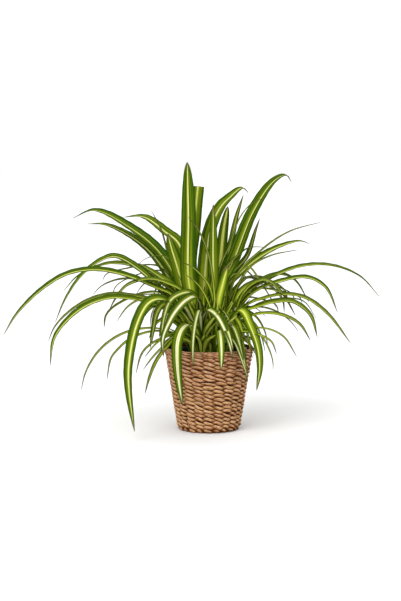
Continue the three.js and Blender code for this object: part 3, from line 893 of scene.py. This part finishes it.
def leaf_outline(along, tip):
    """A leaf's width along its length, as a share of its widest place."""
    sheath = min(1, 0.3 + 1.9 * along)
    if tip == "cut":
        return sheath
    if tip == "blunt":
        return sheath * max(1 - along ** 6, 0) ** 0.6
    return sheath * max(1 - along ** 4.5, 0) ** 0.8


def smooth_share(value, low, high):
    """How far a value is between two others, eased at both ends."""
    share = max(0, min(1, (value - low) / (high - low)))
    return share * share * (3 - 2 * share)


def leaf_look(tip, width, painted_lit_share, draw):
    """The width of a leaf's stripe, how fresh its green is and how creamy its stripe is, as shares.
    A leaf that faces the lights gets a painted highlight: its stripe is made wider and creamier."""
    broad = smooth_share(width, *broad_width)
    stripe = stripe_least + stripe_spread * next(draw) + stripe_if_painted_lit * painted_lit_share
    stripe -= stripe_if_broad * broad
    freshness = max(0, min(1, (width - finest_width) / 16 + 0.3 * (next(draw) - 0.5)))
    cream_and_highlight = cream_spread * next(draw) + cream_if_painted_lit * painted_lit_share
    if tip == "young":
        stripe = 0.10 + 0.40 * next(draw)
        freshness = 0.8
        cream_and_highlight = 0.25 * next(draw)
    if tip == "blunt" and width < tall_leaf_width:
        stripe += stripe_if_blunt
        cream_and_highlight *= 0.4
    return stripe, freshness, cream_and_highlight


def add_leaf(mould, centre, leaf, draw):
    """Bend a flat grid into one leaf along its line. Leaves that face the front or the back and
    don't end high face the lights and get a painted highlight, a wider and creamier stripe, and
    the thin tip of a long leaf is dry further down."""
    azimuth, width, turn, line, *tips = leaf
    tip = tips[0] if tips else "thin"
    around = math.radians(azimuth)
    outward = Vector((math.cos(around), math.sin(around), 0))
    sideways = Vector((-outward.y, outward.x, 0))
    points = [centre + outward * (out * mm) + Vector((0, 0, up * mm))
              for out, up in [[root_spread, leaf_root], *line]]
    samples = spline_through(points)
    length = sum((second - first).length for first, second in zip(samples, samples[1:]))
    rows = max(10, round(length / leaf_step))
    stations = even_stations(samples, rows)
    # How far a leaf faces the lights, for the painted highlight on its stripe.
    painted_lit_share = smooth_share(abs(outward.y), *painted_lit_facing)
    painted_lit_share *= smooth_share(line[-1][1], *painted_lit_tip_height)
    look = leaf_look(tip, width, painted_lit_share, draw)
    slimness = thin_share if tip == "thin" and width < thin_width else 1
    dry_reach = tip_reach
    if tip == "thin":
        dry_reach *= 1 + long_tip_reach * smooth_share(length, *long_leaf)
    missing_tip = cut_length if tip in ("cut", "young") else 0
    phase = 2 * math.pi * next(draw)
    twist = math.radians(twist_spread * (next(draw) - 0.5))
    sway = sway_spread * (next(draw) - 0.5)
    sheet = bmesh.ops.create_grid(mould, x_segments=leaf_faces_across, y_segments=rows, size=0.5)
    place_layer = mould.loops.layers.uv["leaf_place"]
    kind_layer = mould.verts.layers.float_color["leaf_kind"]
    for vert in sheet["verts"]:
        side = 2 * vert.co.x
        along = vert.co.y + 0.5
        for loop in vert.link_loops:
            loop[place_layer].uv = (vert.co.x + 0.5, along * length)
        to_tip = (1 - along) * length + missing_tip
        vert[kind_layer] = (*look, max(0, 1 - to_tip / dry_reach))
        point, ahead = stations[round(along * rows)]
        flat = (sideways - ahead * sideways.dot(ahead)).normalized()
        above = ahead.cross(flat)
        swing = math.radians(turn) + twist * math.sin(3 * along + phase)
        across = flat * math.cos(swing) + above * math.sin(swing)
        normal = above * math.cos(swing) - flat * math.sin(swing)
        half = width * mm / 2 * max(leaf_outline(along, tip), tip_share) * slimness
        ripple_turn = 2 * math.pi * along * length / ripple_length + phase + 2 * side
        ripple = ripple_rise * abs(side) * math.sin(ripple_turn)
        rise = half * (channel_rise * abs(side) ** 1.1 + ripple)
        bend = sway * math.sin(math.pi * along)
        vert.co = point + across * (side * half + bend) + normal * rise


def add_crown(mould, centre):
    """The short stem that the leaves of one rosette sheathe."""
    stem = bmesh.ops.create_cone(mould, cap_ends=True, segments=20, radius1=crown_radius * 0.8,
                                 radius2=crown_radius * 0.3, depth=crown_depth + crown_height)
    place_layer = mould.loops.layers.uv["leaf_place"]
    kind_layer = mould.verts.layers.float_color["leaf_kind"]
    for vert in stem["verts"]:
        for loop in vert.link_loops:
            around = math.atan2(vert.co.y, vert.co.x)
            loop[place_layer].uv = (0.5 + 0.5 * around / math.pi, vert.co.z)
        vert.co += centre + Vector((0, 0, soil_top + (crown_height - crown_depth) / 2))
        vert[kind_layer] = (0.2, 0.5, 0.3, 0)


def add_young_leaves(mould, centre, heading, draw):
    """New leaves: the inner ones stand up all round the crown, and the outer ones lean out between
    the old leaves."""
    for i in range(inner_leaves + outer_leaves):
        inner = i < inner_leaves
        fan = 360 * i / inner_leaves if inner else outer_fan * (next(draw) - 0.5)
        azimuth = heading + fan
        root = centre * (0.4 if inner and i % 2 else 1)
        reach = 5 + 17 * next(draw) if inner else 25 + 40 * next(draw)
        tall = 40 + 80 * next(draw)
        line = [
            [root_spread + reach * 0.3, leaf_root + tall * 0.6],
            [root_spread + reach, leaf_root + tall],
        ]
        width = (inner_width if inner else outer_width) + young_width_spread * next(draw)
        turn = young_turn * (next(draw) - 0.5)
        add_leaf(mould, root, [azimuth, width, turn, line, "young"], draw)


deep_green = (0.018, 0.062, 0.001, 1)
mid_green = (0.125, 0.180, 0.004, 1)
lime_green = (0.280, 0.345, 0.010, 1)
stripe_yellow = (0.660, 0.670, 0.170, 1)
stripe_cream = (0.790, 0.760, 0.540, 1)
stripe_line = (0.300, 0.360, 0.030, 1)
base_lime = (0.560, 0.660, 0.045, 1)
dry_olive = (0.135, 0.135, 0.032, 1)
dry_tan = (0.130, 0.115, 0.035, 1)
dry_brown = (0.065, 0.048, 0.020, 1)
vein_count = 17
leaf_skin, leaf_tree, leaf_shader = new_material("leaf_skin")
leaf_uv = add_node(leaf_tree, "ShaderNodeUVMap", {}, uv_map="leaf_place").outputs["UV"]
leaf_across, leaf_along, _ = split_axes(leaf_uv)
leaf_kind = add_node(leaf_tree, "ShaderNodeVertexColor", {}, layer_name="leaf_kind")
leaf_shares = add_node(leaf_tree, "ShaderNodeSeparateColor", {"Color": leaf_kind.outputs["Color"]})
stripe_share, leaf_freshness, leaf_cream_and_highlight = leaf_shares.outputs
leaf_tip = leaf_kind.outputs["Alpha"]
from_middle = calculate("ABSOLUTE", calculate("SUBTRACT", leaf_across, 0.5))
from_middle = calculate("MULTIPLY", from_middle, 2.0)

# Streaks run along a leaf, and each leaf takes its own layer of them.
streak_layer = calculate("MULTIPLY", leaf_cream_and_highlight, 37.0)
streak_layer = calculate("ADD", streak_layer, calculate("MULTIPLY", leaf_freshness, 53.0))
streak_place = join_axes(leaf_across, leaf_along, streak_layer)


def add_streaks(across, along):
    """A mask of streaks, as fine across and along the leaf as the two numbers say."""
    stretched = add_node(leaf_tree, "ShaderNodeMapping", {
        "Vector": streak_place, "Scale": (across, along, 1)})
    return add_grain(stretched.outputs["Vector"], 1.0)[0]


leaf_streak = add_streaks(17, 9)
leaf_line = add_streaks(36, 3)
leaf_band = add_streaks(6, 1.5)
streak_shift = calculate("MULTIPLY", calculate("SUBTRACT", leaf_streak, 0.5), 0.22)
stripe_edge = calculate("ADD", from_middle, streak_shift)
past_stripe = calculate("SUBTRACT", stripe_edge, stripe_share)

# The green turns lime beside the stripe, and all over the middle at the root. A thin leaf is less
# fresh: it is olive above the root, dull in its stripe unless that is cream, and drier at the tip.
lime_share = calculate("MULTIPLY", ease(past_stripe, 0.26, 0.02, 0.60),
                       ease(leaf_band, 0.40, 0.56, at_low=0.15))
olive_share = calculate("MULTIPLY", ease(leaf_freshness, 0.80, 0.05, 0.6),
                        ease(leaf_along, 0.07, 0.20))
stripe_dull = calculate("MULTIPLY", ease(leaf_freshness, 0.85, 0.30, 0.8),
                        ease(leaf_cream_and_highlight, 0.6, 0.3))
# A cream stripe is partly the leaf's own tone and partly a painted highlight on leaves that face
# the lights.
stripe_color = cover(mix_colors(leaf_cream_and_highlight, stripe_yellow, stripe_cream), [
    (stripe_dull, stripe_line),
    (ease(leaf_line, 0.50, 0.36, 0.7), stripe_line),
])
base_share = calculate("MULTIPLY", ease(leaf_along, 0.22, 0.06, 0.70),
                       ease(stripe_edge, 0.66, 0.22))
base_share = calculate("MULTIPLY", base_share, ease(leaf_cream_and_highlight, 0.6, 0.3, at_low=0.2))
tip_place = calculate("ADD", leaf_tip, ease(leaf_freshness, 0.55, 0.0, 0.10))
tip_place = calculate("ADD", tip_place, streak_shift)
leaf_color = cover(mix_colors(ease(leaf_band, 0.40, 0.60), deep_green, mid_green), [
    (ease(leaf_line, 0.54, 0.66, 0.5), lime_green),
    (ease(leaf_line, 0.46, 0.34, 0.7), deep_green),
    (lime_share, lime_green),
    (ease(leaf_along, 0.24, 0.08, 0.25), lime_green),
    (olive_share, dry_olive),
    (ease(from_middle, 0.58, 0.94, 0.84), deep_green),
    (ease(past_stripe, 0.05, -0.05), stripe_color),
    (base_share, base_lime),
    (ease(tip_place, 0.84, 0.96, 0.8), dry_tan),
    (ease(tip_place, 0.93, 1.02), dry_brown),
])
leaf_roughness = ease(leaf_streak, 0.3, 0.7, 0.60, at_low=0.42)
vein_turn = calculate("MULTIPLY", leaf_across, 2 * math.pi * vein_count)
vein_height = calculate("ADD", calculate("SINE", vein_turn), leaf_streak)
finish_shader(leaf_shader, leaf_color, leaf_roughness, vein_height, 0.3, 0.0002)
leaf_shader.inputs["Specular IOR Level"].default_value = 0.03

rosettes = [
    ("right", 0, right_leaves),
    ("back_right", 60, back_right_leaves + back_leaves(60, 11)),
    ("back_left", 120, back_left_leaves + back_leaves(120, 29)),
    ("left", 180, left_leaves),
    ("front_left", 240, front_left_leaves),
    ("front_right", 300, front_right_leaves),
]
for side_name, heading, leaves in rosettes:
    centre = ring_point(math.radians(heading), crown_circle, 0)
    draw = seeded_draws(1000 + heading)
    rosette_mould = start_strips("leaf_place", "leaf_kind")
    for leaf in leaves + short_leaves[side_name]:
        add_leaf(rosette_mould, centre, leaf, draw)
    add_young_leaves(rosette_mould, centre, heading, draw)
    rosette = finish_mesh(rosette_mould, "leaves_" + side_name)
    thickness = rosette.modifiers.new("thickness", "SOLIDIFY")
    thickness.thickness = leaf_thickness
    thickness.offset = 0
    rosette.data.materials.append(leaf_skin)
    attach(rosette, "root")
    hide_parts("rosette_" + side_name)

    crown_mould = start_strips("leaf_place", "leaf_kind")
    add_crown(crown_mould, centre)
    crown = finish_mesh(crown_mould, "crown_" + side_name)
    crown.data.materials.append(leaf_skin)
    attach(crown, "root")
